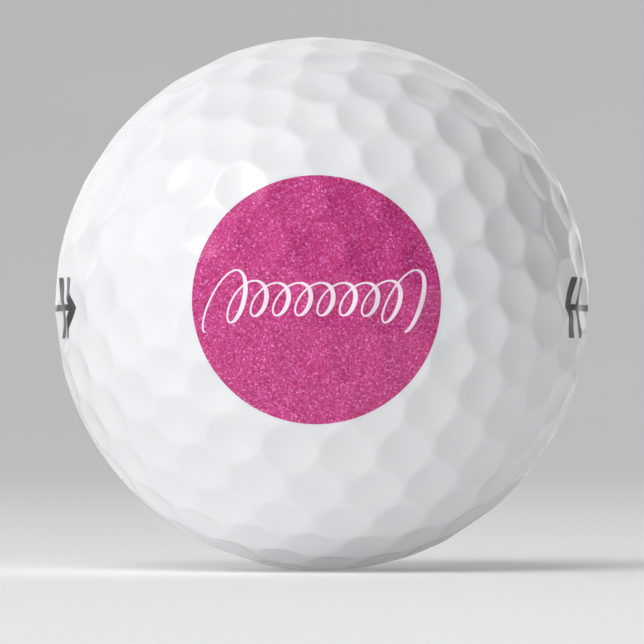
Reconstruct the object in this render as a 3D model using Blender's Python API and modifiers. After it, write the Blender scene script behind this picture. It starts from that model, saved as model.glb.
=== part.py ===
"""Golf ball: dual core, mantle and dimpled cover, with a printed disc, a flourish and two side marks.

Metres, +Z up. The origin is the centre of the ball, and the printed disc faces -Y.
"""

import math

import bmesh
import bpy
import numpy as np
from mathutils import Euler, Vector

# Layers, from the outside in
BALL_RADIUS = 0.02135
COVER_THICKNESS = 0.00105
MANTLE_THICKNESS = 0.00120
INNER_CORE_RADIUS = 0.01200
LAYER_GAP = 0.00030
PARTING_GAP = 0.00030
TURNED_STEPS = 24
ARC_STEPS = 6
CORE_SUBDIVISIONS = 3
MERGE_DISTANCE = 0.000001

# Dimples: rows of a multiple of five run from pole to pole, and the widest rows are a band
CAP_ROWS = 6
BAND_STEPS = 5
DIMPLES_PER_HALF = 166
FIVE_SIDED_SIZE = 0.4
SPREADING_STEPS = 400
SPREADING_GAIN = 0.02
SPREADING_POWER = 4
LATTICE_TILT = (-176.2, -18.9, -126.9)
RIDGE_HALF_WIDTH = 0.00045
RIDGE_DROP = 0.00007
DIMPLE_DEPTH = 0.00015
RIDGE_CORNER_HALF_ANGLE = 60.0
SHARP_ANGLE = 40.0

# Printed films
FILM_GAP = 0.00004
FILM_THICKNESS = 0.00006
FILM_CELL_MARGIN = 0.10
CUTTER_DEPTH = 0.026
DISC_RADIUS = 0.0096
DISC_SIDES = 72

# Flourish: a slanted run of pen loops, tall at both ends
FLOURISH_LENGTH = 0.0154
FLOURISH_LOOPS = 9
FLOURISH_POINTS_PER_LOOP = 14
FLOURISH_SMALL_HEIGHT = 0.00125
FLOURISH_TALL_HEIGHT = 0.00250
FLOURISH_TALL_REACH = 0.12
FLOURISH_LOOP_WIDTH = 0.00090
FLOURISH_SLANT = 0.35
FLOURISH_THIN = 0.00014
FLOURISH_THICK = 0.00036
NIB_HALF_WIDTH = 0.5
NIB_HALF_DEPTH = 12.0
PEN_DEPTH = 0.0006

# Side marks: a line with two arrowheads at each end, measured from the middle outwards
MARK_LINE_HALF_WIDTH = 0.00025
MARK_HEAD_TIPS = (0.0070, 0.0088)
MARK_HEAD_HALF_HEIGHT = 0.0024
MARK_HEAD_LENGTH = 0.0017
MARK_STROKE = 0.0009
MARK_DROP = 0.0004

ASSEMBLY = "golf_ball"


def clear_scene():
    for thing in list(bpy.data.objects):
        bpy.data.objects.remove(thing, do_unlink=True)


def new_collection(name):
    collection = bpy.data.collections.new(name)
    bpy.context.scene.collection.children.link(collection)
    return collection


def new_material(name, colour, roughness, coat=0.0):
    material = bpy.data.materials.new(name)
    material.use_nodes = True
    shader = material.node_tree.nodes["Principled BSDF"]
    shader.inputs["Base Color"].default_value = (*colour, 1.0)
    shader.inputs["Roughness"].default_value = roughness
    shader.inputs["Metallic"].default_value = 0.0
    shader.inputs["Coat Weight"].default_value = coat
    return material


def add_object(name, data, collection, material=None):
    thing = bpy.data.objects.new(name, data)
    collection.objects.link(thing)
    if material:
        data.materials.append(material)
    return thing


def mesh_from(name, shape):
    """Turn a bmesh into a mesh and free the bmesh."""
    mesh = bpy.data.meshes.new(name)
    shape.to_mesh(mesh)
    shape.free()
    return mesh


# Inner layers


def arc_profile(outer_radius, inner_radius):
    """Half section of one cup: down its outer arc, across the parting face and up its inner arc."""
    half_gap = PARTING_GAP / 2
    profile = []
    for radius, order in ((outer_radius, range(ARC_STEPS + 1)), (inner_radius, range(ARC_STEPS, -1, -1))):
        last = math.acos(half_gap / radius)
        for step in order:
            angle = last * step / ARC_STEPS
            profile.append((radius * math.sin(angle), 0.0, radius * math.cos(angle)))
    return profile


def turned_cup(name, outer_radius, inner_radius, tilt, collection, material):
    """Half of a moulded layer, open side towards -Z before it is tilted."""
    shape = bmesh.new()
    rim = [shape.verts.new(point) for point in arc_profile(outer_radius, inner_radius)]
    for start, end in zip(rim, rim[1:]):
        shape.edges.new((start, end))
    cup = add_object(name, mesh_from(name, shape), collection, material)
    cup.rotation_euler = tilt
    turn = cup.modifiers.new("turn", "SCREW")
    turn.axis = "Z"
    turn.steps = TURNED_STEPS
    turn.render_steps = TURNED_STEPS
    turn.use_smooth_shade = True
    turn.use_merge_vertices = True
    turn.merge_threshold = MERGE_DISTANCE
    return cup


def inner_core(collection, material):
    shape = bmesh.new()
    bmesh.ops.create_icosphere(shape, subdivisions=CORE_SUBDIVISIONS, radius=INNER_CORE_RADIUS)
    core = add_object("inner_core", mesh_from("inner_core", shape), collection, material)
    core.data.shade_smooth()
    return core


# Dimple layout


def dimple_rows():
    """Unit directions of the dimple rows, and the size of each dimple beside a six-sided one."""
    rows = 2 * CAP_ROWS + BAND_STEPS
    half_step = math.pi / (5 * CAP_ROWS)
    points = []
    sizes = []
    for row in range(rows + 1):
        rows_from_pole = min(row, rows - row, CAP_ROWS)
        count = max(5 * rows_from_pole, 1)
        shift = -half_step * min(max(row - CAP_ROWS, 0), BAND_STEPS)
        from_pole = math.pi * row / rows
        band_edge = row in (CAP_ROWS, rows - CAP_ROWS)
        for place in range(count):
            angle = shift + math.tau * place / count
            across = math.sin(from_pole)
            points.append((across * math.cos(angle), across * math.sin(angle), math.cos(from_pole)))
            five_sided = count == 1 or (band_edge and place % CAP_ROWS == 0)
            sizes.append(FIVE_SIDED_SIZE if five_sided else 1.0)
    return np.array(points), np.array(sizes)


def spread_evenly(points, sizes):
    """Let the dimples push each other apart until they sit evenly, small ones closer in."""
    spacing = math.sqrt(4 * math.pi / len(points) * 2 / math.sqrt(3))
    push_sizes = sizes[:, None] * sizes[None, :]
    for _ in range(SPREADING_STEPS):
        offsets = points[:, None] - points[None, :]
        distances = np.linalg.norm(offsets, axis=2)
        np.fill_diagonal(distances, np.inf)
        pushes = push_sizes * (spacing / distances) ** SPREADING_POWER / distances
        moves = (offsets * pushes[:, :, None]).sum(axis=1)
        moves -= (moves * points).sum(axis=1)[:, None] * points
        points = points + moves * spacing * SPREADING_GAIN
        points /= np.linalg.norm(points, axis=1)[:, None]
    return points


def dimple_directions():
    points, sizes = dimple_rows()
    tilt = Euler([math.radians(angle) for angle in LATTICE_TILT]).to_matrix()
    return [tilt @ Vector(point) for point in spread_evenly(points, sizes)]


def dimple_cells(directions):
    """The ball as one flat polygon for each dimple, in the order of the directions."""
    hull = bmesh.new()
    centres = [hull.verts.new(direction) for direction in directions]
    bmesh.ops.convex_hull(hull, input=centres)
    hull.normal_update()
    cells = bmesh.new()
    corners = {face: cells.verts.new(face.normal * BALL_RADIUS) for face in hull.faces}
    for centre in centres:
        along = centre.co.orthogonal()
        across = centre.co.cross(along)
        around = sorted(
            centre.link_faces,
            key=lambda face: math.atan2(face.normal.dot(across), face.normal.dot(along)),
        )
        cells.faces.new([corners[face] for face in around])
    hull.free()
    cells.faces.index_update()
    return cells


def keep_cells(cells, kept):
    shape = cells.copy()
    gone = [face for face in shape.faces if face.index not in kept]
    bmesh.ops.delete(shape, geom=gone, context="FACES")
    return shape


def press_dimples(shape, faces):
    """Sink each flat cell into a dimple and leave a ridge round it."""
    bmesh.ops.inset_individual(
        shape,
        faces=faces,
        thickness=RIDGE_HALF_WIDTH,
        depth=-RIDGE_DROP,
        use_even_offset=True,
    )
    bmesh.ops.poke(shape, faces=faces, offset=RIDGE_DROP - DIMPLE_DEPTH)


def thicken(shape, inner_scale, outer_scale):
    """Make a solid of a surface about the origin, and return its outer faces."""
    surface = shape.faces[:]
    inner_points = shape.verts[:]
    copied = bmesh.ops.extrude_face_region(shape, geom=surface, use_keep_orig=True)["geom"]
    outer_points = [part for part in copied if isinstance(part, bmesh.types.BMVert)]
    outer_faces = [part for part in copied if isinstance(part, bmesh.types.BMFace)]
    for point in inner_points:
        point.co *= inner_scale
    for point in outer_points:
        point.co *= outer_scale
    bmesh.ops.recalc_face_normals(shape, faces=shape.faces)
    return outer_faces


# Cover


def draw_back_rim(cells, kept):
    """Move the corners on the parting line into the kept half, so that both halves leave a gap."""
    for corner in cells.verts:
        own = [face.calc_center_median() for face in corner.link_faces if face.index in kept]
        other = [face.calc_center_median() for face in corner.link_faces if face.index not in kept]
        if not own or not other:
            continue
        inwards = sum(own, Vector()) / len(own) - sum(other, Vector()) / len(other)
        outwards = corner.co.normalized()
        inwards -= inwards.dot(outwards) * outwards
        along_corner = PARTING_GAP / 2 / math.sin(math.radians(RIDGE_CORNER_HALF_ANGLE))
        corner.co += inwards.normalized() * along_corner


def cover_half(name, cells, kept, collection, material):
    """One moulded half of the cover: smooth inside, dimpled outside, parted along the ridges."""
    own_cells = cells.copy()
    draw_back_rim(own_cells, kept)
    shape = keep_cells(own_cells, kept)
    own_cells.free()
    outer_faces = thicken(shape, 1 - COVER_THICKNESS / BALL_RADIUS, 1.0)
    press_dimples(shape, outer_faces)
    cover = add_object(name, mesh_from(name, shape), collection, material)
    cover.data.shade_smooth()
    cover.data.set_sharp_from_angle(angle=math.radians(SHARP_ANGLE))
    return cover


# Printed films


def film(name, cells, facing, reach, lift, cutter, collection, material):
    """Ink that follows the dimples round a direction, cut to the outline of a cutter."""
    least = math.cos(math.asin(reach / BALL_RADIUS)) - FILM_CELL_MARGIN
    kept = set()
    for face in cells.faces:
        if face.calc_center_median().normalized().dot(facing) > least:
            kept.add(face.index)
    shape = keep_cells(cells, kept)
    press_dimples(shape, shape.faces[:])
    thicken(shape, 1 + lift / BALL_RADIUS, 1 + (lift + FILM_THICKNESS) / BALL_RADIUS)
    ink = add_object(name, mesh_from(name, shape), collection, material)
    outline = ink.modifiers.new("outline", "BOOLEAN")
    outline.operation = "INTERSECT"
    outline.solver = "EXACT"
    outline.object = cutter
    return ink


def as_cutter(thing):
    thing.hide_render = True
    thing.display_type = "WIRE"
    return thing


def disc_cutter(collection):
    shape = bmesh.new()
    bmesh.ops.create_cone(
        shape,
        cap_ends=True,
        segments=DISC_SIDES,
        radius1=DISC_RADIUS,
        radius2=DISC_RADIUS,
        depth=CUTTER_DEPTH,
    )
    cutter = add_object("disc_cutter", mesh_from("disc_cutter", shape), collection)
    cutter.location = (0.0, -CUTTER_DEPTH / 2, 0.0)
    cutter.rotation_euler = (math.radians(90), 0.0, 0.0)
    return as_cutter(cutter)


def flourish_path():
    """Points across the disc and the width of the pen at each."""
    steps = FLOURISH_LOOPS * FLOURISH_POINTS_PER_LOOP
    points = []
    for step in range(steps + 1):
        along = step / steps
        angle = math.tau * FLOURISH_LOOPS * along
        from_end = min(along, 1 - along) / FLOURISH_TALL_REACH
        tall = math.exp(-(from_end**2))
        height = FLOURISH_SMALL_HEIGHT + (FLOURISH_TALL_HEIGHT - FLOURISH_SMALL_HEIGHT) * tall
        up = -height * math.cos(angle)
        right = FLOURISH_LENGTH * (along - 0.5) - FLOURISH_LOOP_WIDTH * math.sin(angle)
        downstroke = max(0.0, -math.sin(angle))
        width = FLOURISH_THIN + (FLOURISH_THICK - FLOURISH_THIN) * downstroke
        points.append((right + FLOURISH_SLANT * up, up, width))
    return points


def outline_curve(name, points, collection):
    """A closed flat outline, filled on both sides."""
    curve = bpy.data.curves.new(name, "CURVE")
    curve.dimensions = "2D"
    curve.fill_mode = "BOTH"
    spline = curve.splines.new("POLY")
    spline.points.add(len(points) - 1)
    for point, (right, up) in zip(spline.points, points):
        point.co = (right, up, 0.0, 1.0)
    spline.use_cyclic_u = True
    return add_object(name, curve, collection)


def cutter_from_curve(curve_object, collection):
    """Replace a curve object with a closed mesh of the same shape and place."""
    bpy.context.view_layer.update()
    evaluated = curve_object.evaluated_get(bpy.context.evaluated_depsgraph_get())
    name = curve_object.name
    shape = bmesh.new()
    shape.from_mesh(bpy.data.meshes.new_from_object(evaluated))
    bmesh.ops.remove_doubles(shape, verts=shape.verts, dist=MERGE_DISTANCE)
    bmesh.ops.recalc_face_normals(shape, faces=shape.faces)
    cutter = add_object(name + "_cutter", mesh_from(name + "_cutter", shape), collection)
    cutter.matrix_world = curve_object.matrix_world
    bpy.data.objects.remove(curve_object, do_unlink=True)
    return as_cutter(cutter)


def flourish_cutter(collection):
    """A deep ribbon through the front of the ball, as wide as the pen stroke."""
    nib_corners = (
        (-NIB_HALF_WIDTH, -NIB_HALF_DEPTH),
        (NIB_HALF_WIDTH, -NIB_HALF_DEPTH),
        (NIB_HALF_WIDTH, NIB_HALF_DEPTH),
        (-NIB_HALF_WIDTH, NIB_HALF_DEPTH),
    )
    nib = outline_curve("nib", nib_corners, collection)
    nib.data.fill_mode = "NONE"
    pen = bpy.data.curves.new("flourish", "CURVE")
    pen.dimensions = "3D"
    pen.twist_mode = "Z_UP"
    pen.bevel_mode = "OBJECT"
    pen.bevel_object = nib
    pen.use_fill_caps = True
    stroke = pen.splines.new("POLY")
    path = flourish_path()
    stroke.points.add(len(path) - 1)
    for point, (right, up, width) in zip(stroke.points, path):
        point.co = (right, up, 0.0, 1.0)
        point.radius = width
    ribbon = add_object("flourish", pen, collection)
    ribbon.location = (0.0, PEN_DEPTH - BALL_RADIUS, 0.0)
    ribbon.rotation_euler = (math.radians(90), 0.0, 0.0)
    cutter = cutter_from_curve(ribbon, collection)
    bpy.data.objects.remove(nib, do_unlink=True)
    return cutter


def side_mark_outline():
    """A line along the middle with two arrowheads at each end, all in one outline."""
    slope = MARK_HEAD_LENGTH / MARK_HEAD_HALF_HEIGHT
    line_setback = slope * MARK_LINE_HALF_WIDTH
    quarter = []
    for tip in MARK_HEAD_TIPS:
        back = tip - MARK_STROKE
        quarter.append((back - line_setback, MARK_LINE_HALF_WIDTH))
        quarter.append((back - MARK_HEAD_LENGTH, MARK_HEAD_HALF_HEIGHT))
        quarter.append((tip - MARK_HEAD_LENGTH, MARK_HEAD_HALF_HEIGHT))
        quarter.append((tip - line_setback, MARK_LINE_HALF_WIDTH))
    quarter[-1] = (MARK_HEAD_TIPS[-1], 0.0)
    upper_half = [(-right, up) for right, up in reversed(quarter[:-1])] + quarter
    lower_half = [(-right, -up) for right, up in upper_half]
    return upper_half + lower_half


def side_mark_cutter(name, side, collection):
    outline = outline_curve(name, side_mark_outline(), collection)
    outline.data.extrude = CUTTER_DEPTH / 2
    outline.location = (side * CUTTER_DEPTH / 2, 0.0, -MARK_DROP)
    outline.rotation_euler = (math.radians(90), 0.0, side * math.radians(90))
    return cutter_from_curve(outline, collection)


def main():
    clear_scene()
    parts = new_collection(ASSEMBLY)
    cutters = new_collection("cutters")
    white_urethane = new_material("white_urethane", (0.88, 0.89, 0.90), 0.28, 0.6)
    ionomer = new_material("mantle_ionomer", (0.72, 0.74, 0.72), 0.45)
    outer_rubber = new_material("outer_core_rubber", (0.04, 0.24, 0.36), 0.70)
    inner_rubber = new_material("inner_core_rubber", (0.55, 0.12, 0.06), 0.75)
    pink_ink = new_material("pink_glitter_ink", (0.62, 0.03, 0.22), 0.42, 0.5)
    white_ink = new_material("white_ink", (0.92, 0.92, 0.92), 0.45)
    black_ink = new_material("black_ink", (0.02, 0.02, 0.025), 0.40)

    mantle_outer = BALL_RADIUS - COVER_THICKNESS - LAYER_GAP
    mantle_inner = mantle_outer - MANTLE_THICKNESS
    core_outer = mantle_inner - LAYER_GAP
    core_inner = INNER_CORE_RADIUS + LAYER_GAP
    inner_core(parts, inner_rubber)
    quarter = math.radians(90)
    turned_cup("outer_core_left", core_outer, core_inner, (0.0, -quarter, 0.0), parts, outer_rubber)
    turned_cup("outer_core_right", core_outer, core_inner, (0.0, quarter, 0.0), parts, outer_rubber)
    turned_cup("mantle_upper", mantle_outer, mantle_inner, (0.0, 0.0, 0.0), parts, ionomer)
    turned_cup("mantle_lower", mantle_outer, mantle_inner, (math.radians(180), 0.0, 0.0), parts, ionomer)

    cells = dimple_cells(dimple_directions())
    lower = set(range(DIMPLES_PER_HALF))
    upper = set(range(DIMPLES_PER_HALF, len(cells.faces)))
    cover_half("cover_upper", cells, upper, parts, white_urethane)
    cover_half("cover_lower", cells, lower, parts, white_urethane)

    front = Vector((0.0, -1.0, 0.0))
    second_lift = 2 * FILM_GAP + FILM_THICKNESS
    outline = disc_cutter(cutters)
    film("glitter_disc", cells, front, DISC_RADIUS, FILM_GAP, outline, parts, pink_ink)
    outline = flourish_cutter(cutters)
    flourish = film("disc_flourish", cells, front, DISC_RADIUS, second_lift, outline, parts, white_ink)
    flourish.modifiers["outline"].use_self = True
    for name, side in (("side_mark_left", -1.0), ("side_mark_right", 1.0)):
        outline = side_mark_cutter(name, side, cutters)
        facing = Vector((side, 0.0, 0.0))
        film(name, cells, facing, MARK_HEAD_TIPS[-1], FILM_GAP, outline, parts, black_ink)
    cells.free()


main()
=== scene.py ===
"""Looks of the golf ball: dimpled cover, glitter print, pen flourish, side marks and inner layers.

Metres, in the CAD's frame: +Z up, the printed disc faces -Y.
"""

import math

import bmesh
import bpy
import numpy as np
from mathutils import Euler, Matrix, Vector


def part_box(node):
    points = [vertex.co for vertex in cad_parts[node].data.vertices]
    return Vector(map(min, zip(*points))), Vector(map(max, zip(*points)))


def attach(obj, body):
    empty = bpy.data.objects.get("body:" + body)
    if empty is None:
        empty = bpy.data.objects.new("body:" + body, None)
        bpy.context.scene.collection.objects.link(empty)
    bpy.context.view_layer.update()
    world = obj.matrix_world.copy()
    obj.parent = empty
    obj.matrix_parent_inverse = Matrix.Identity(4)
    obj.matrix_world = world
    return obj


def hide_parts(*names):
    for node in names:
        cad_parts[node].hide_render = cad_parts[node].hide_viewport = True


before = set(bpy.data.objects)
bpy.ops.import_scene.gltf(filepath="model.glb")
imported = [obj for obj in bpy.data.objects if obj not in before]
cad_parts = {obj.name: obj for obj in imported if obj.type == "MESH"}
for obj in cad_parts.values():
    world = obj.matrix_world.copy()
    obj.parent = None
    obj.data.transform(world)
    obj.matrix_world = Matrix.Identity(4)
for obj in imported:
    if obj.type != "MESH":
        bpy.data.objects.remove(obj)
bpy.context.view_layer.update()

# Dimples: soft bowls between ridges that stay a little under the CAD's sharp ones
CROWN_DROP = 0.00004
BOWL_DEPTH = 0.00029
BOWL_CORNERS = 6
RIDGE_ROUNDING = 0.00016
CROWN_SOFTNESS = 0.12
CELL_BLEND = 0.00010
NEAREST_DIMPLES = 3

# Cover mesh
SIDE_STEPS = 8
RING_SHARES = (0.28, 0.52, 0.70, 0.81, 0.88, 0.93, 0.97, 1.0)
SLOPE_STEP = 0.0005
AXIS_LIMIT = 0.8
WELD_DIGITS = 8

# All meshes
CAD_POINT_DIGITS = 7
SMOOTH_LIMIT = 0.85
SHARP_ANGLE = 35.0
MERGE_DISTANCE = 0.0000005

# Printed films: heights above the cover, and how finely they are made
INK_LOW = 0.000010
INK_HIGH = 0.000030
SECOND_INK_LOW = 0.000035
SECOND_INK_HIGH = 0.000060
INK_GRID = 0.00020
LAYING_STEPS = 4
CUTTING_SCALE = 1000.0
DISC_RINGS = 56
DISC_STEPS = 208

# Flourish: the CAD's path, with more points
FLOURISH_LENGTH = 0.0154
FLOURISH_LOOPS = 9
FLOURISH_POINTS_PER_LOOP = 44
FLOURISH_SMALL_HEIGHT = 0.00125
FLOURISH_TALL_HEIGHT = 0.00250
FLOURISH_TALL_REACH = 0.12
FLOURISH_LOOP_WIDTH = 0.00090
FLOURISH_SLANT = 0.35
FLOURISH_THIN = 0.00014
FLOURISH_THICK = 0.00036
FLOURISH_MARGIN = 1.2
NIB_HALF_WIDTH = 0.5
NIB_HALF_DEPTH = 12.0

# Side marks: the CAD's outline
MARK_LINE_HALF_WIDTH = 0.00025
MARK_HEAD_TIPS = (0.0070, 0.0088)
MARK_HEAD_HALF_HEIGHT = 0.0024
MARK_HEAD_LENGTH = 0.0017
MARK_STROKE = 0.0009
MARK_DROP = 0.0004
MARK_MARGIN = 1.1

# Inner layers
TURNED_STEPS = 72
CUP_ARC_STEPS = 18
CUP_EDGE = 0.00012
CORE_ARC_STEPS = 180
MOULD_LINE_HEIGHT = 0.00005
MOULD_LINE_WIDTH = 0.00025
HALF_TURN = math.pi
QUARTER_TURN = math.pi / 2

# Colours: the dark and light patches of each material, and specks and flakes
COVER_COLOURS = ((0.83, 0.84, 0.86), (0.87, 0.875, 0.885))
MANTLE_COLOURS = ((0.68, 0.70, 0.67), (0.76, 0.77, 0.74))
OUTER_CORE_COLOURS = ((0.03, 0.20, 0.31), (0.05, 0.26, 0.38))
OUTER_CORE_SPECKS = (0.35, 0.50, 0.55)
INNER_CORE_COLOURS = ((0.46, 0.09, 0.04), (0.58, 0.14, 0.07))
INNER_CORE_SPECKS = (0.85, 0.62, 0.45)
WHITE_INK_COLOURS = ((0.94, 0.78, 0.88), (0.98, 0.83, 0.93))
BLACK_INK_COLOURS = ((0.012, 0.012, 0.014), (0.024, 0.024, 0.026))
FLOOR_COLOURS = ((0.87, 0.87, 0.87), (0.89, 0.89, 0.89))
FLAKE_COLOURS = (
    (0.00, (0.43, 0.012, 0.120)),
    (0.25, (0.53, 0.024, 0.175)),
    (0.50, (0.61, 0.038, 0.235)),
    (0.75, (0.70, 0.062, 0.310)),
    (0.93, (0.80, 0.120, 0.430)),
    (1.00, (0.90, 0.300, 0.640)),
)

# Camera, floor and lights
CAMERA_DISTANCE = 0.534
CAMERA_AZIMUTH = 1.3
CAMERA_ELEVATION = -1.0
CAMERA_AIM_DROP = 0.00144
CAMERA_CLIP = (0.01, 20.0)
BALL_SHARE = 0.829
FLOOR_RADIUS = 0.9
FLOOR_STEPS = 96
FLOOR_GLOW = 0.12
SWEEP_RADIUS = 2.2
SWEEP_HEIGHT = 0.3
SWEEP_STEPS = 24
SKY_COLOUR = (0.97, 0.985, 1.0)
LIGHT_DISTANCE = 1.2


# Shapes taken from the CAD


def node_points(name):
    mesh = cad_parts[name].data
    points = np.empty(len(mesh.vertices) * 3)
    mesh.vertices.foreach_get("co", points)
    return points.reshape(-1, 3)


def node_triangles(name):
    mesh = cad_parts[name].data
    mesh.calc_loop_triangles()
    corners = np.empty(len(mesh.loop_triangles) * 3, np.int32)
    mesh.loop_triangles.foreach_get("vertices", corners)
    return corners.reshape(-1, 3)


def node_radii(name):
    """Smallest and largest distance of a node's points from the ball's centre."""
    radii = np.linalg.norm(node_points(name), axis=1)
    return radii.min(), radii.max()


def dimple_centres(name):
    """Unit directions of the dimple floors of one cover half: the lowest point of each dimple."""
    points, same = np.unique(
        node_points(name).round(CAD_POINT_DIGITS), axis=0, return_inverse=True
    )
    triangles = same.reshape(-1)[node_triangles(name)]
    radii = np.linalg.norm(points, axis=1)
    beside = np.full(len(points), np.inf)
    for first, second in ((0, 1), (1, 2), (2, 0)):
        np.minimum.at(beside, triangles[:, first], radii[triangles[:, second]])
        np.minimum.at(beside, triangles[:, second], radii[triangles[:, first]])
    outside = radii > sum(node_radii(name)) / 2
    floors = points[outside & (radii < beside)]
    return floors / np.linalg.norm(floors, axis=1)[:, None]


COVER_RADIUS = node_radii("cover_upper")[1]
COVER_INNER_RADIUS = node_radii("cover_upper")[0]
BALL_RADIUS = COVER_RADIUS - CROWN_DROP
UPPER_CENTRES = dimple_centres("cover_upper")
LOWER_CENTRES = dimple_centres("cover_lower")
CENTRES = np.concatenate([UPPER_CENTRES, LOWER_CENTRES])


# Dimple layout


def unit(vectors):
    return vectors / np.linalg.norm(vectors, axis=-1, keepdims=True)


def dimple_cells():
    """For each dimple, the directions of its cell's corners in turn, and the dimple across each side."""
    hull = bmesh.new()
    points = [hull.verts.new(centre) for centre in CENTRES]
    bmesh.ops.convex_hull(hull, input=points)
    hull.normal_update()
    number = {point: place for place, point in enumerate(points)}
    cells = []
    for point in points:
        along = point.co.orthogonal()
        across = point.co.cross(along)
        around = sorted(
            point.link_faces,
            key=lambda face: math.atan2(face.normal.dot(across), face.normal.dot(along)),
        )
        neighbours = []
        for face, following in zip(around, around[1:] + around[:1]):
            (shared,) = (set(face.verts) & set(following.verts)) - {point}
            neighbours.append(number[shared])
        cells.append((np.array([face.normal[:] for face in around]), neighbours))
    hull.free()
    return cells


CELLS = dimple_cells()
MOST_SIDES = max(len(neighbours) for _, neighbours in CELLS)
NEIGHBOURS = np.array([beside + beside[:1] * (MOST_SIDES - len(beside)) for _, beside in CELLS])
REAL_SIDES = np.array([[side < len(beside) for side in range(MOST_SIDES)] for _, beside in CELLS])
SPACINGS = np.linalg.norm(CENTRES[:, None] - CENTRES[NEIGHBOURS], axis=2)
MEAN_SPACING = SPACINGS.mean()
CELL_SIZES = SPACINGS.mean(axis=1) / MEAN_SPACING


def bowl(toward, own):
    """Depth from 0 to 1 of each direction in the dimple it is given, rounded over its ridges."""
    own_toward = np.take_along_axis(toward, own[:, None], axis=1)
    beside_toward = np.take_along_axis(toward, NEIGHBOURS[own], axis=1)
    half_spacing = SPACINGS[own] / 2 * BALL_RADIUS
    from_side = BALL_RADIUS * (own_toward - beside_toward) / SPACINGS[own]
    softened = np.sqrt(from_side**2 + RIDGE_ROUNDING**2) - RIDGE_ROUNDING
    rise = np.maximum(1 - softened / half_spacing, 0.0) * REAL_SIDES[own]
    rise = (rise**BOWL_CORNERS).sum(axis=1) ** (1 / BOWL_CORNERS)
    depth = 1 - rise**2
    return (depth + np.sqrt(depth**2 + CROWN_SOFTNESS**2)) / 2 * CELL_SIZES[own]


def relief(directions):
    """How far the cover lies under its crown in each direction."""
    toward = directions @ CENTRES.T
    nearest = np.argsort(-toward, axis=1)[:, :NEAREST_DIMPLES]
    best = np.take_along_axis(toward, nearest, axis=1)
    shares = np.exp((best - best[:, :1]) * BALL_RADIUS / MEAN_SPACING / CELL_BLEND)
    shares /= shares.sum(axis=1, keepdims=True)
    depth = sum(shares[:, rank] * bowl(toward, nearest[:, rank]) for rank in range(NEAREST_DIMPLES))
    return depth * BOWL_DEPTH


def on_ball(directions):
    return directions * (BALL_RADIUS - relief(directions))[:, None]


def ball_normals(directions):
    """Outward normals of the dimpled surface, from two short steps along it."""
    aside = np.where(np.abs(directions[:, :1]) < AXIS_LIMIT, [[1.0, 0.0, 0.0]], [[0.0, 1.0, 0.0]])
    first = unit(np.cross(directions, aside))
    second = np.cross(directions, first)
    here = on_ball(directions)
    along_first = on_ball(unit(directions + SLOPE_STEP * first)) - here
    along_second = on_ball(unit(directions + SLOPE_STEP * second)) - here
    return unit(np.cross(along_first, along_second))


# Mesh helpers


def add_object(name, data):
    thing = bpy.data.objects.new(name, data)
    bpy.context.scene.collection.objects.link(thing)
    return thing


def add_piece(name, mesh, material, slot, *replaced):
    piece = add_object(name, mesh)
    mesh.materials.append(material)
    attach(piece, "root")
    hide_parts(*replaced)
    return piece


def welded(points, faces):
    """Join the points that fall together."""
    rounded = points.round(WELD_DIGITS)
    _, first, same = np.unique(rounded, axis=0, return_index=True, return_inverse=True)
    same = same.reshape(-1)
    return points[first], [[int(same[corner]) for corner in face] for face in faces]


def mesh_from(name, shape):
    """Turn a bmesh into a mesh and free the bmesh."""
    mesh = bpy.data.meshes.new(name)
    shape.to_mesh(mesh)
    shape.free()
    return mesh


def turned_mesh(name, profile, steps):
    """A smooth mesh of a profile of (reach, height) pairs turned round Z, closed where the reach is 0."""
    points = []
    rings = []
    for reach, height in profile:
        turns = steps if reach > 0 else 1
        rings.append([len(points) + turn for turn in range(turns)] * (steps // turns))
        angles = [math.tau * turn / steps for turn in range(turns)]
        points += [(reach * math.cos(angle), reach * math.sin(angle), height) for angle in angles]
    faces = []
    for ring, following in zip(rings, rings[1:]):
        for step in range(steps):
            beside = (step + 1) % steps
            corners = (ring[step], following[step], following[beside], ring[beside])
            faces.append(list(dict.fromkeys(corners)))
    mesh = bpy.data.meshes.new(name)
    mesh.from_pydata(points, [], faces)
    mesh.shade_smooth()
    mesh.set_sharp_from_angle(angle=math.radians(SHARP_ANGLE))
    return mesh


def mesh_with_normals(name, points, faces, normal_at):
    """A mesh shaded by normal_at, and flat where a face turns away from it, as on a rim or a wall."""
    mesh = bpy.data.meshes.new(name)
    mesh.from_pydata(points, [], faces)
    mesh.shade_smooth()
    sizes = np.empty(len(mesh.polygons), np.int32)
    mesh.polygons.foreach_get("loop_total", sizes)
    flat = np.empty(len(mesh.polygons) * 3, np.float32)
    mesh.polygons.foreach_get("normal", flat)
    flat = np.repeat(flat.reshape(-1, 3), sizes, axis=0)
    corners = np.empty(len(mesh.loops), np.int32)
    mesh.loops.foreach_get("vertex_index", corners)
    smooth = normal_at(points)[corners]
    facing = (smooth * flat).sum(axis=1)[:, None]
    normals = np.where(np.abs(facing) > SMOOTH_LIMIT, smooth * np.sign(facing), flat)
    mesh.normals_split_custom_set(normals.tolist())
    return mesh


# Cover


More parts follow.
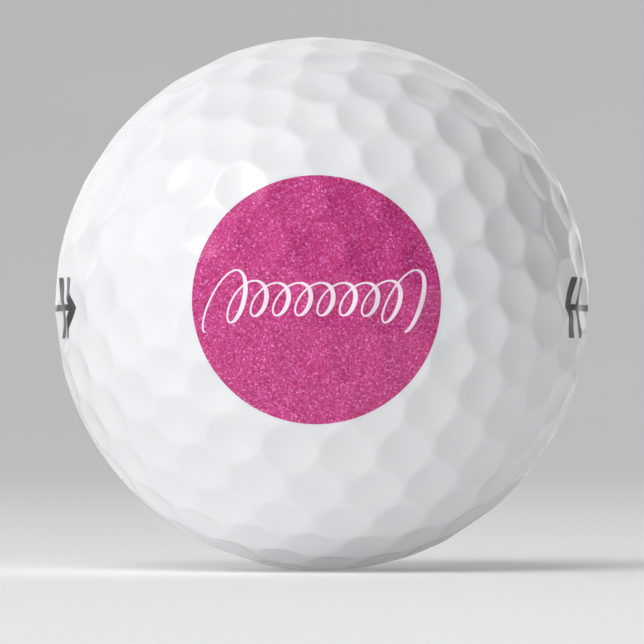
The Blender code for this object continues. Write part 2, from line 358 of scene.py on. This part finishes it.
def cell_mesh(place, own_half):
    """Points and faces of one dimple's outer skin, inner skin and parting wall."""
    corners, neighbours = CELLS[place]
    centre = CENTRES[place]
    outline = []
    for corner, following in zip(corners, np.roll(corners, -1, axis=0)):
        for step in range(SIDE_STEPS):
            share = step / SIDE_STEPS
            outline.append(corner * (1 - share) + following * share)
    outline = unit(np.array(outline))
    count = len(outline)
    rings = [unit(centre + share * (outline - centre)) for share in RING_SHARES]
    directions = np.concatenate([[centre], *rings])
    inner = np.concatenate([[centre], outline]) * COVER_INNER_RADIUS
    faces = []
    for step in range(count):
        following = (step + 1) % count
        faces.append((0, 1 + step, 1 + following))
        for ring in range(len(rings) - 1):
            near = 1 + ring * count
            far = near + count
            faces.append((near + step, far + step, far + following, near + following))
    first_inner = len(directions)
    first_outer = first_inner - count
    for step in range(count):
        following = (step + 1) % count
        faces.append((first_inner, first_inner + 1 + following, first_inner + 1 + step))
        if neighbours[step // SIDE_STEPS] not in own_half:
            faces.append((
                first_outer + following,
                first_outer + step,
                first_inner + 1 + step,
                first_inner + 1 + following,
            ))
    return directions, inner, faces


def cover_half(name, first, last, material, *replaced):
    """One half of the cover, edge to edge with the other along the ridges."""
    own_half = range(first, last)
    points = []
    faces = []
    start = 0
    for place in own_half:
        directions, inner, cell_faces = cell_mesh(place, own_half)
        points.append(on_ball(directions))
        points.append(inner)
        faces += [[start + corner for corner in face] for face in cell_faces]
        start += len(directions) + len(inner)
    points, faces = welded(np.concatenate(points), faces)
    outside = np.linalg.norm(points, axis=1) > (BALL_RADIUS + COVER_INNER_RADIUS) / 2

    def normal_at(points):
        directions = unit(points)
        return np.where(outside[:, None], ball_normals(directions), directions)

    mesh = mesh_with_normals(name, points, faces, normal_at)
    return add_piece(name, mesh, material, "white_urethane", *replaced)


# Printed films


FRONT = np.array([[1.0, 0.0, 0.0], [0.0, 0.0, 1.0], [0.0, -1.0, 0.0]])
LEFT = np.array([[0.0, -1.0, 0.0], [0.0, 0.0, 1.0], [-1.0, 0.0, 0.0]])
RIGHT = np.array([[0.0, 1.0, 0.0], [0.0, 0.0, 1.0], [1.0, 0.0, 0.0]])


def onto_cover(flat, heights, axes):
    """Lay flat points on the cover, straight along the last of the three axes: across, up and outwards."""
    reach = (flat**2).sum(axis=1)
    radius = np.full(len(flat), BALL_RADIUS)
    for _ in range(LAYING_STEPS):
        outwards = np.sqrt(radius**2 - reach)
        points = np.column_stack([flat, outwards]) @ axes
        radius = BALL_RADIUS - relief(unit(points)) + heights
    return points


def ink_mesh(name, flat, heights, faces, axes):
    points = onto_cover(flat, heights, axes)
    return mesh_with_normals(name, points, faces, lambda points: ball_normals(unit(points)))


def disc_film(name, radius, low, high):
    """A closed round film in rings, its rim a little rounded."""
    half_height = (high - low) / 2
    bevel = half_height / 3
    shares = [ring / DISC_RINGS for ring in range(1, DISC_RINGS)]
    profile = [(share * radius, high) for share in shares]
    profile += [(radius - bevel, high), (radius, high - half_height), (radius - bevel, low)]
    profile += [(share * radius, low) for share in reversed(shares)]
    flat = [(0.0, 0.0)]
    heights = [high]
    faces = []
    for ring, (reach, height) in enumerate(profile):
        for step in range(DISC_STEPS):
            angle = math.tau * step / DISC_STEPS
            flat.append((reach * math.cos(angle), reach * math.sin(angle)))
            heights.append(height)
            here = 1 + ring * DISC_STEPS + step
            beside = 1 + ring * DISC_STEPS + (step + 1) % DISC_STEPS
            if ring == 0:
                faces.append((0, here, beside))
            else:
                faces.append((here - DISC_STEPS, here, beside, beside - DISC_STEPS))
    last_ring = 1 + (len(profile) - 1) * DISC_STEPS
    flat.append((0.0, 0.0))
    heights.append(low)
    for step in range(DISC_STEPS):
        faces.append((last_ring + step, len(flat) - 1, last_ring + (step + 1) % DISC_STEPS))
    return ink_mesh(name, np.array(flat), np.array(heights), faces, FRONT)


def outline_curve(name, points):
    """A closed flat outline, filled on both sides."""
    curve = bpy.data.curves.new(name, "CURVE")
    curve.dimensions = "2D"
    curve.fill_mode = "BOTH"
    spline = curve.splines.new("POLY")
    spline.points.add(len(points) - 1)
    for point, (right, up) in zip(spline.points, points):
        point.co = (right, up, 0.0, 1.0)
    spline.use_cyclic_u = True
    return add_object(name, curve)


def solid_from_curve(curve_object):
    """Replace a curve object with a closed mesh object of the same shape."""
    bpy.context.view_layer.update()
    evaluated = curve_object.evaluated_get(bpy.context.evaluated_depsgraph_get())
    shape = bmesh.new()
    shape.from_mesh(bpy.data.meshes.new_from_object(evaluated))
    bmesh.ops.remove_doubles(shape, verts=shape.verts, dist=MERGE_DISTANCE)
    bmesh.ops.recalc_face_normals(shape, faces=shape.faces)
    bpy.data.objects.remove(curve_object, do_unlink=True)
    return add_object("cutter", mesh_from("cutter", shape))


def slab(half_width, half_height, low, high):
    """A thin box whose broad sides are cut into a grid."""
    shape = bmesh.new()
    columns = math.ceil(2 * half_width / INK_GRID)
    rows = math.ceil(2 * half_height / INK_GRID)
    bmesh.ops.create_grid(shape, x_segments=columns, y_segments=rows, size=1.0)
    bmesh.ops.scale(shape, vec=(half_width, half_height, 1.0), verts=shape.verts)
    bmesh.ops.translate(shape, vec=(0.0, 0.0, high), verts=shape.verts)
    copied = bmesh.ops.extrude_face_region(shape, geom=shape.faces[:], use_keep_orig=True)["geom"]
    lower = [part for part in copied if isinstance(part, bmesh.types.BMVert)]
    bmesh.ops.translate(shape, vec=(0.0, 0.0, low - high), verts=lower)
    bmesh.ops.recalc_face_normals(shape, faces=shape.faces)
    return add_object("slab", mesh_from("slab", shape))


def cut_film(name, cutter, half_width, half_height, low, high, axes):
    """The part of a thin slab inside a cutter, laid on the cover. Crossing strokes of the cutter merge.

    The cut is made on enlarged shapes, because the film is thinner than the cut's own tolerance.
    """
    sheet = slab(half_width, half_height, low, high)
    for thing in (sheet, cutter):
        thing.data.transform(Matrix.Scale(CUTTING_SCALE, 4))
    outline = sheet.modifiers.new("outline", "BOOLEAN")
    outline.operation = "INTERSECT"
    outline.solver = "EXACT"
    outline.use_self = True
    outline.object = cutter
    bpy.context.view_layer.update()
    evaluated = sheet.evaluated_get(bpy.context.evaluated_depsgraph_get())
    shape = bmesh.new()
    shape.from_mesh(bpy.data.meshes.new_from_object(evaluated))
    bmesh.ops.triangulate(shape, faces=shape.faces)
    cut = np.array([point.co[:] for point in shape.verts]) / CUTTING_SCALE
    faces = [[corner.index for corner in face.verts] for face in shape.faces]
    shape.free()
    for thing in (sheet, cutter):
        bpy.data.objects.remove(thing, do_unlink=True)
    return ink_mesh(name, cut[:, :2], cut[:, 2], faces, axes)


def flourish_path():
    """Points across the disc and the width of the pen at each."""
    steps = FLOURISH_LOOPS * FLOURISH_POINTS_PER_LOOP
    points = []
    for step in range(steps + 1):
        along = step / steps
        angle = math.tau * FLOURISH_LOOPS * along
        from_end = min(along, 1 - along) / FLOURISH_TALL_REACH
        tall = math.exp(-(from_end**2))
        height = FLOURISH_SMALL_HEIGHT + (FLOURISH_TALL_HEIGHT - FLOURISH_SMALL_HEIGHT) * tall
        up = -height * math.cos(angle)
        right = FLOURISH_LENGTH * (along - 0.5) - FLOURISH_LOOP_WIDTH * math.sin(angle)
        downstroke = max(0.0, -math.sin(angle))
        width = FLOURISH_THIN + (FLOURISH_THICK - FLOURISH_THIN) * downstroke
        points.append((right + FLOURISH_SLANT * up, up, width))
    return points


def flourish_cutter():
    """A deep ribbon as wide as the pen stroke."""
    nib_corners = (
        (-NIB_HALF_WIDTH, -NIB_HALF_DEPTH),
        (NIB_HALF_WIDTH, -NIB_HALF_DEPTH),
        (NIB_HALF_WIDTH, NIB_HALF_DEPTH),
        (-NIB_HALF_WIDTH, NIB_HALF_DEPTH),
    )
    nib = outline_curve("nib", nib_corners)
    nib.data.fill_mode = "NONE"
    pen = bpy.data.curves.new("pen", "CURVE")
    pen.dimensions = "3D"
    pen.twist_mode = "Z_UP"
    pen.bevel_mode = "OBJECT"
    pen.bevel_object = nib
    pen.use_fill_caps = True
    stroke = pen.splines.new("POLY")
    path = flourish_path()
    stroke.points.add(len(path) - 1)
    for point, (right, up, width) in zip(stroke.points, path):
        point.co = (right, up, 0.0, 1.0)
        point.radius = width
    cutter = solid_from_curve(add_object("pen", pen))
    bpy.data.objects.remove(nib, do_unlink=True)
    return cutter


def side_mark_outline():
    """A line along the middle with two arrowheads at each end, all in one outline."""
    slope = MARK_HEAD_LENGTH / MARK_HEAD_HALF_HEIGHT
    line_setback = slope * MARK_LINE_HALF_WIDTH
    quarter = []
    for tip in MARK_HEAD_TIPS:
        back = tip - MARK_STROKE
        quarter.append((back - line_setback, MARK_LINE_HALF_WIDTH))
        quarter.append((back - MARK_HEAD_LENGTH, MARK_HEAD_HALF_HEIGHT))
        quarter.append((tip - MARK_HEAD_LENGTH, MARK_HEAD_HALF_HEIGHT))
        quarter.append((tip - line_setback, MARK_LINE_HALF_WIDTH))
    quarter[-1] = (MARK_HEAD_TIPS[-1], 0.0)
    upper_half = [(-right, up) for right, up in reversed(quarter[:-1])] + quarter
    lower_half = [(-right, -up) for right, up in upper_half]
    return upper_half + lower_half


def side_mark(name, axes, material, replaced):
    lowered = [(right, up - MARK_DROP) for right, up in side_mark_outline()]
    outline = outline_curve(name + "_outline", lowered)
    outline.data.extrude = BALL_RADIUS
    mesh = cut_film(
        name,
        solid_from_curve(outline),
        MARK_HEAD_TIPS[-1] * MARK_MARGIN,
        MARK_HEAD_HALF_HEIGHT * MARK_MARGIN + MARK_DROP,
        INK_LOW,
        INK_HIGH,
        axes,
    )
    return add_piece(name, mesh, material, "black_ink", replaced)


# Inner layers


def arc(radius, start, end):
    angles = [start + (end - start) * step / CUP_ARC_STEPS for step in range(CUP_ARC_STEPS + 1)]
    return [(radius * math.sin(angle), radius * math.cos(angle)) for angle in angles]


def cup(node, tilt, material, slot):
    """A half shell with chamfered edges, open side down before it is tilted."""
    inner_radius, outer_radius = node_radii(node)
    axis = Vector((0, 0, 1))
    axis.rotate(tilt)
    lift = (node_points(node) @ np.array(axis)).min()
    outer_edge = math.acos((lift + CUP_EDGE) / outer_radius)
    inner_edge = math.acos((lift + CUP_EDGE) / inner_radius)
    profile = arc(outer_radius, 0.0, outer_edge)
    profile += [(outer_radius - CUP_EDGE, lift), (inner_radius + CUP_EDGE, lift)]
    profile += arc(inner_radius, inner_edge, 0.0)
    profile[0] = (0.0, outer_radius)
    profile[-1] = (0.0, inner_radius)
    mesh = turned_mesh(node + "_shell", profile, TURNED_STEPS)
    mesh.transform(tilt.to_matrix().to_4x4())
    return add_piece(node + "_shell", mesh, material, slot, node)


def core_ball(node, material, slot):
    """The inner core, with the thin line that its mould leaves round it."""
    radius = node_radii(node)[1] - MOULD_LINE_HEIGHT
    profile = []
    for step in range(CORE_ARC_STEPS + 1):
        angle = HALF_TURN * step / CORE_ARC_STEPS
        from_line = radius * (angle - QUARTER_TURN) / MOULD_LINE_WIDTH
        reach = radius + MOULD_LINE_HEIGHT * math.exp(-(from_line**2))
        profile.append((reach * math.sin(angle), reach * math.cos(angle)))
    profile[0] = (0.0, radius)
    profile[-1] = (0.0, -radius)
    mesh = turned_mesh(node + "_ball", profile, TURNED_STEPS)
    return add_piece(node + "_ball", mesh, material, slot, node)


# Materials


def new_material(name, **constants):
    material = bpy.data.materials.new(name)
    material.use_nodes = True
    shader = material.node_tree.nodes["Principled BSDF"]
    for socket, value in constants.items():
        shader.inputs[socket.replace("_", " ")].default_value = value
    return material, shader


class Nodes:
    """Short calls for a material's nodes and links."""

    def __init__(self, material):
        self.tree = material.node_tree
        self.coordinates = self.add("ShaderNodeTexCoord").outputs["Object"]

    def add(self, kind, **settings):
        node = self.tree.nodes.new(kind)
        for name, value in settings.items():
            setattr(node, name, value)
        return node

    def link(self, output, target):
        self.tree.links.new(output, target)

    def noise(self, size, detail=2.0, roughness=0.5):
        """Noise whose features are about size metres across."""
        noise = self.add("ShaderNodeTexNoise")
        noise.inputs["Scale"].default_value = 1 / size
        noise.inputs["Detail"].default_value = detail
        noise.inputs["Roughness"].default_value = roughness
        self.link(self.coordinates, noise.inputs["Vector"])
        return noise.outputs["Fac"]

    def cells(self, size):
        """Random cells about size metres across, with a colour each."""
        cells = self.add("ShaderNodeTexVoronoi")
        cells.inputs["Scale"].default_value = 1 / size
        self.link(self.coordinates, cells.inputs["Vector"])
        return cells

    def ramp(self, value, stops):
        """A colour ramp from (place, colour) pairs."""
        ramp = self.add("ShaderNodeValToRGB")
        elements = ramp.color_ramp.elements
        while len(elements) < len(stops):
            elements.new(0.5)
        for element, (place, colour) in zip(elements, stops):
            element.position = place
            element.color = (*colour, 1.0)
        self.link(value, ramp.inputs["Fac"])
        return ramp.outputs["Color"]

    def patches(self, noise, colours, places=(0.3, 0.7)):
        """Soft patches of a dark and a light colour."""
        return self.ramp(noise, tuple(zip(places, colours)))

    def between(self, value, low, high, source=(0.0, 1.0)):
        """Carry a value from the source range to low and high."""
        span = self.add("ShaderNodeMapRange")
        span.inputs["From Min"].default_value = source[0]
        span.inputs["From Max"].default_value = source[1]
        span.inputs["To Min"].default_value = low
        span.inputs["To Max"].default_value = high
        self.link(value, span.inputs["Value"])
        return span.outputs["Result"]

    def bump(self, pattern, height):
        """The surface normal of a relief that is at most height metres high."""
        bump = self.add("ShaderNodeBump")
        bump.inputs["Strength"].default_value = 1.0
        bump.inputs["Distance"].default_value = height
        self.link(pattern, bump.inputs["Height"])
        return bump.outputs["Normal"]

    def tilted(self, colour, amount):
        """The surface normal, turned a little by how far each cell's random colour is from mid grey."""
        tilt = self.add("ShaderNodeVectorMath", operation="SUBTRACT")
        self.link(colour, tilt.inputs[0])
        tilt.inputs[1].default_value = (0.5, 0.5, 0.5)
        scaled = self.add("ShaderNodeVectorMath", operation="SCALE")
        scaled.inputs["Scale"].default_value = amount
        self.link(tilt.outputs["Vector"], scaled.inputs[0])
        turned = self.add("ShaderNodeVectorMath", operation="ADD")
        self.link(self.add("ShaderNodeNewGeometry").outputs["Normal"], turned.inputs[0])
        self.link(scaled.outputs["Vector"], turned.inputs[1])
        normal = self.add("ShaderNodeVectorMath", operation="NORMALIZE")
        self.link(turned.outputs["Vector"], normal.inputs[0])
        return normal.outputs["Vector"]


def cover_material():
    """Clear-coated white urethane with faint mottling, uneven gloss and a fine orange peel."""
    material, shader = new_material(
        "white_urethane_looks",
        IOR=1.5,
        Subsurface_Weight=0.12,
        Subsurface_Radius=(0.0010, 0.0009, 0.0008),
        Subsurface_Scale=1.0,
        Coat_Weight=0.8,
        Coat_Roughness=0.07,
    )
    nodes = Nodes(material)
    mottling = nodes.noise(size=0.004, detail=3.0)
    white = nodes.patches(mottling, COVER_COLOURS, places=(0.25, 0.75))
    gloss = nodes.between(nodes.noise(size=0.0015, detail=4.0), low=0.26, high=0.40)
    peel = nodes.bump(nodes.noise(size=0.0006, detail=3.0), height=0.000004)
    nodes.link(white, shader.inputs["Base Color"])
    nodes.link(gloss, shader.inputs["Roughness"])
    nodes.link(peel, shader.inputs["Normal"])
    return material


def glitter_material():
    """Pink ink full of fine flakes, each with its own shade, gloss and tilt, under a thin clear coat."""
    material, shader = new_material("pink_glitter_looks", Coat_Weight=0.5, Coat_Roughness=0.14)
    nodes = Nodes(material)
    flakes = nodes.cells(size=0.00012).outputs["Color"]
    split = nodes.add("ShaderNodeSeparateColor")
    nodes.link(flakes, split.inputs["Color"])
    shade = nodes.ramp(split.outputs["Red"], FLAKE_COLOURS)
    gloss = nodes.between(split.outputs["Green"], low=0.35, high=0.60)
    metal = nodes.between(split.outputs["Blue"], low=0.0, high=0.45)
    nodes.link(shade, shader.inputs["Base Color"])
    nodes.link(gloss, shader.inputs["Roughness"])
    nodes.link(metal, shader.inputs["Metallic"])
    nodes.link(nodes.tilted(flakes, amount=0.25), shader.inputs["Normal"])
    return material


def ink_material(name, colours, dullness):
    """Satin ink with small uneven patches."""
    material, shader = new_material(name, Coat_Weight=0.3, Coat_Roughness=0.15)
    nodes = Nodes(material)
    unevenness = nodes.noise(size=0.0004, detail=4.0, roughness=0.6)
    gloss = nodes.between(nodes.noise(size=0.0002), low=dullness - 0.08, high=dullness + 0.08)
    nodes.link(nodes.patches(unevenness, colours), shader.inputs["Base Color"])
    nodes.link(gloss, shader.inputs["Roughness"])
    nodes.link(nodes.bump(unevenness, height=0.000003), shader.inputs["Normal"])
    return material


def rubber_material(name, colours, speck_colour):
    """Moulded rubber with filler specks and a dull, slightly rough face."""
    material, shader = new_material(name, IOR=1.52)
    nodes = Nodes(material)
    tone = nodes.patches(nodes.noise(size=0.003, detail=4.0), colours)
    filler = nodes.cells(size=0.0007).outputs["Distance"]
    specks = nodes.between(filler, low=1.0, high=0.0, source=(0.08, 0.16))
    mix = nodes.add("ShaderNodeMix", data_type="RGBA")
    nodes.link(specks, mix.inputs["Factor"])
    nodes.link(tone, mix.inputs["A"])
    mix.inputs["B"].default_value = (*speck_colour, 1.0)
    gloss = nodes.between(nodes.noise(size=0.001, detail=3.0), low=0.6, high=0.8)
    grain = nodes.noise(size=0.0005, detail=5.0, roughness=0.6)
    nodes.link(mix.outputs["Result"], shader.inputs["Base Color"])
    nodes.link(gloss, shader.inputs["Roughness"])
    nodes.link(nodes.bump(grain, height=0.00003), shader.inputs["Normal"])
    return material


def ionomer_material():
    """Milky moulded ionomer."""
    material, shader = new_material(
        "mantle_ionomer_looks",
        Subsurface_Weight=0.3,
        Subsurface_Radius=(0.0012, 0.0012, 0.0010),
        Subsurface_Scale=1.0,
    )
    nodes = Nodes(material)
    milk = nodes.patches(nodes.noise(size=0.005, detail=3.0), MANTLE_COLOURS)
    gloss = nodes.between(nodes.noise(size=0.002, detail=4.0), low=0.38, high=0.5)
    grain = nodes.bump(nodes.noise(size=0.0009, detail=3.0), height=0.00001)
    nodes.link(milk, shader.inputs["Base Color"])
    nodes.link(gloss, shader.inputs["Roughness"])
    nodes.link(grain, shader.inputs["Normal"])
    return material


def floor_material():
    """A pale matt table that glows a little, so that the underside of the ball is lit."""
    material, shader = new_material(
        "floor_looks",
        Roughness=0.7,
        Specular_IOR_Level=0.0,
        Emission_Color=(1.0, 1.0, 1.0, 1.0),
        Emission_Strength=FLOOR_GLOW,
    )
    nodes = Nodes(material)
    nodes.link(nodes.patches(nodes.noise(size=0.2), FLOOR_COLOURS), shader.inputs["Base Color"])
    return material


# Camera, floor and lights


def from_centre(azimuth, elevation, distance):
    """A place seen from the ball's centre: azimuth 0 is -Y, turning towards +X."""
    around = math.radians(azimuth)
    above = math.radians(elevation)
    level = distance * math.cos(above)
    return Vector((level * math.sin(around), -level * math.cos(around), distance * math.sin(above)))


def point_at(thing, target):
    thing.rotation_euler = (target - thing.location).to_track_quat("-Z", "Y").to_euler()


def add_camera():
    data = bpy.data.cameras.new("camera")
    camera = add_object("camera", data)
    camera.location = from_centre(CAMERA_AZIMUTH, CAMERA_ELEVATION, CAMERA_DISTANCE)
    point_at(camera, Vector((0.0, 0.0, -CAMERA_AIM_DROP)))
    half_angle = math.asin(BALL_RADIUS / CAMERA_DISTANCE)
    data.lens = data.sensor_width * BALL_SHARE / (2 * math.tan(half_angle))
    data.clip_start, data.clip_end = CAMERA_CLIP
    bpy.context.scene.camera = camera


def add_softbox(name, azimuth, elevation, size, power, spread=180.0, lights=True, mirrored=False):
    """A round soft light turned to the ball, which lights it, is mirrored in its gloss, or both."""
    data = bpy.data.lights.new(name, "AREA")
    data.shape = "DISK"
    data.size = size
    data.spread = math.radians(spread)
    data.energy = power
    light = add_object(name, data)
    light.location = from_centre(azimuth, elevation, LIGHT_DISTANCE)
    light.visible_camera = False
    light.visible_diffuse = lights
    light.visible_glossy = mirrored
    point_at(light, Vector((0.0, 0.0, 0.0)))


def add_world(left, right):
    """An even studio sky whose strength falls from the left (-X) to the right."""
    world = bpy.data.worlds.new("studio")
    world.use_nodes = True
    tree = world.node_tree
    background = tree.nodes["Background"]
    background.inputs["Color"].default_value = (*SKY_COLOUR, 1.0)
    direction = tree.nodes.new("ShaderNodeTexCoord").outputs["Generated"]
    split = tree.nodes.new("ShaderNodeSeparateXYZ")
    span = tree.nodes.new("ShaderNodeMapRange")
    for socket, value in (("From Min", -1.0), ("From Max", 1.0), ("To Min", left), ("To Max", right)):
        span.inputs[socket].default_value = value
    tree.links.new(direction, split.inputs["Vector"])
    tree.links.new(split.outputs["X"], span.inputs["Value"])
    tree.links.new(span.outputs["Result"], background.inputs["Strength"])
    bpy.context.scene.world = world


def add_floor():
    """A round floor that sweeps up into a low backdrop all round."""
    profile = [(0.0, 0.0)]
    for step in range(SWEEP_STEPS + 1):
        share = step / SWEEP_STEPS
        profile.append((FLOOR_RADIUS + (SWEEP_RADIUS - FLOOR_RADIUS) * share, SWEEP_HEIGHT * share**2))
    mesh = turned_mesh("floor", profile, FLOOR_STEPS)
    mesh.materials.append(floor_material())
    floor = add_object("floor", mesh)
    lowest = on_ball(unit(node_points("cover_lower")))[:, 2].min()
    floor.location = (0.0, 0.0, lowest)


# The whole scene


def add_cover():
    material = cover_material()
    upper_count = len(UPPER_CENTRES)
    cover_half("cover_upper_shell", 0, upper_count, material, "cover_upper")
    cover_half("cover_lower_shell", upper_count, len(CENTRES), material, "cover_lower")


def add_prints():
    disc_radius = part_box("glitter_disc")[1][0]
    disc = disc_film("glitter_disc_print", disc_radius, INK_LOW, INK_HIGH)
    add_piece("glitter_disc_print", disc, glitter_material(), "pink_glitter_ink", "glitter_disc")
    flourish = cut_film(
        "flourish_print",
        flourish_cutter(),
        disc_radius,
        FLOURISH_TALL_HEIGHT * FLOURISH_MARGIN,
        SECOND_INK_LOW,
        SECOND_INK_HIGH,
        FRONT,
    )
    white_ink = ink_material("white_ink_looks", WHITE_INK_COLOURS, dullness=0.35)
    add_piece("flourish_print", flourish, white_ink, "white_ink", "disc_flourish")
    black_ink = ink_material("black_ink_looks", BLACK_INK_COLOURS, dullness=0.30)
    side_mark("side_mark_left_print", LEFT, black_ink, "side_mark_left")
    side_mark("side_mark_right_print", RIGHT, black_ink, "side_mark_right")


def add_inner_layers():
    ionomer = ionomer_material()
    cup("mantle_upper", Euler((0.0, 0.0, 0.0)), ionomer, "mantle_ionomer")
    cup("mantle_lower", Euler((HALF_TURN, 0.0, 0.0)), ionomer, "mantle_ionomer")
    outer_rubber = rubber_material("outer_core_looks", OUTER_CORE_COLOURS, OUTER_CORE_SPECKS)
    cup("outer_core_left", Euler((0.0, -QUARTER_TURN, 0.0)), outer_rubber, "outer_core_rubber")
    cup("outer_core_right", Euler((0.0, QUARTER_TURN, 0.0)), outer_rubber, "outer_core_rubber")
    inner_rubber = rubber_material("inner_core_looks", INNER_CORE_COLOURS, INNER_CORE_SPECKS)
    core_ball("inner_core", inner_rubber, "inner_core_rubber")


def add_studio():
    add_floor()
    add_world(left=0.73, right=0.01)
    add_softbox("front_left", azimuth=-40.0, elevation=8.0, size=0.28, power=0.43, spread=70.0)
    add_softbox("high_front", azimuth=-15.0, elevation=50.0, size=0.80, power=5.2)
    add_softbox("window", azimuth=-56.0, elevation=39.5, size=0.42, power=1.1, mirrored=True)
    add_softbox(
        "backdrop",
        azimuth=-175.0,
        elevation=12.0,
        size=2.2,
        power=5.8,
        lights=False,
        mirrored=True,
    )


add_camera()
add_cover()
add_prints()
add_inner_layers()
add_studio()
bpy.context.scene.view_settings.view_transform = "Standard"
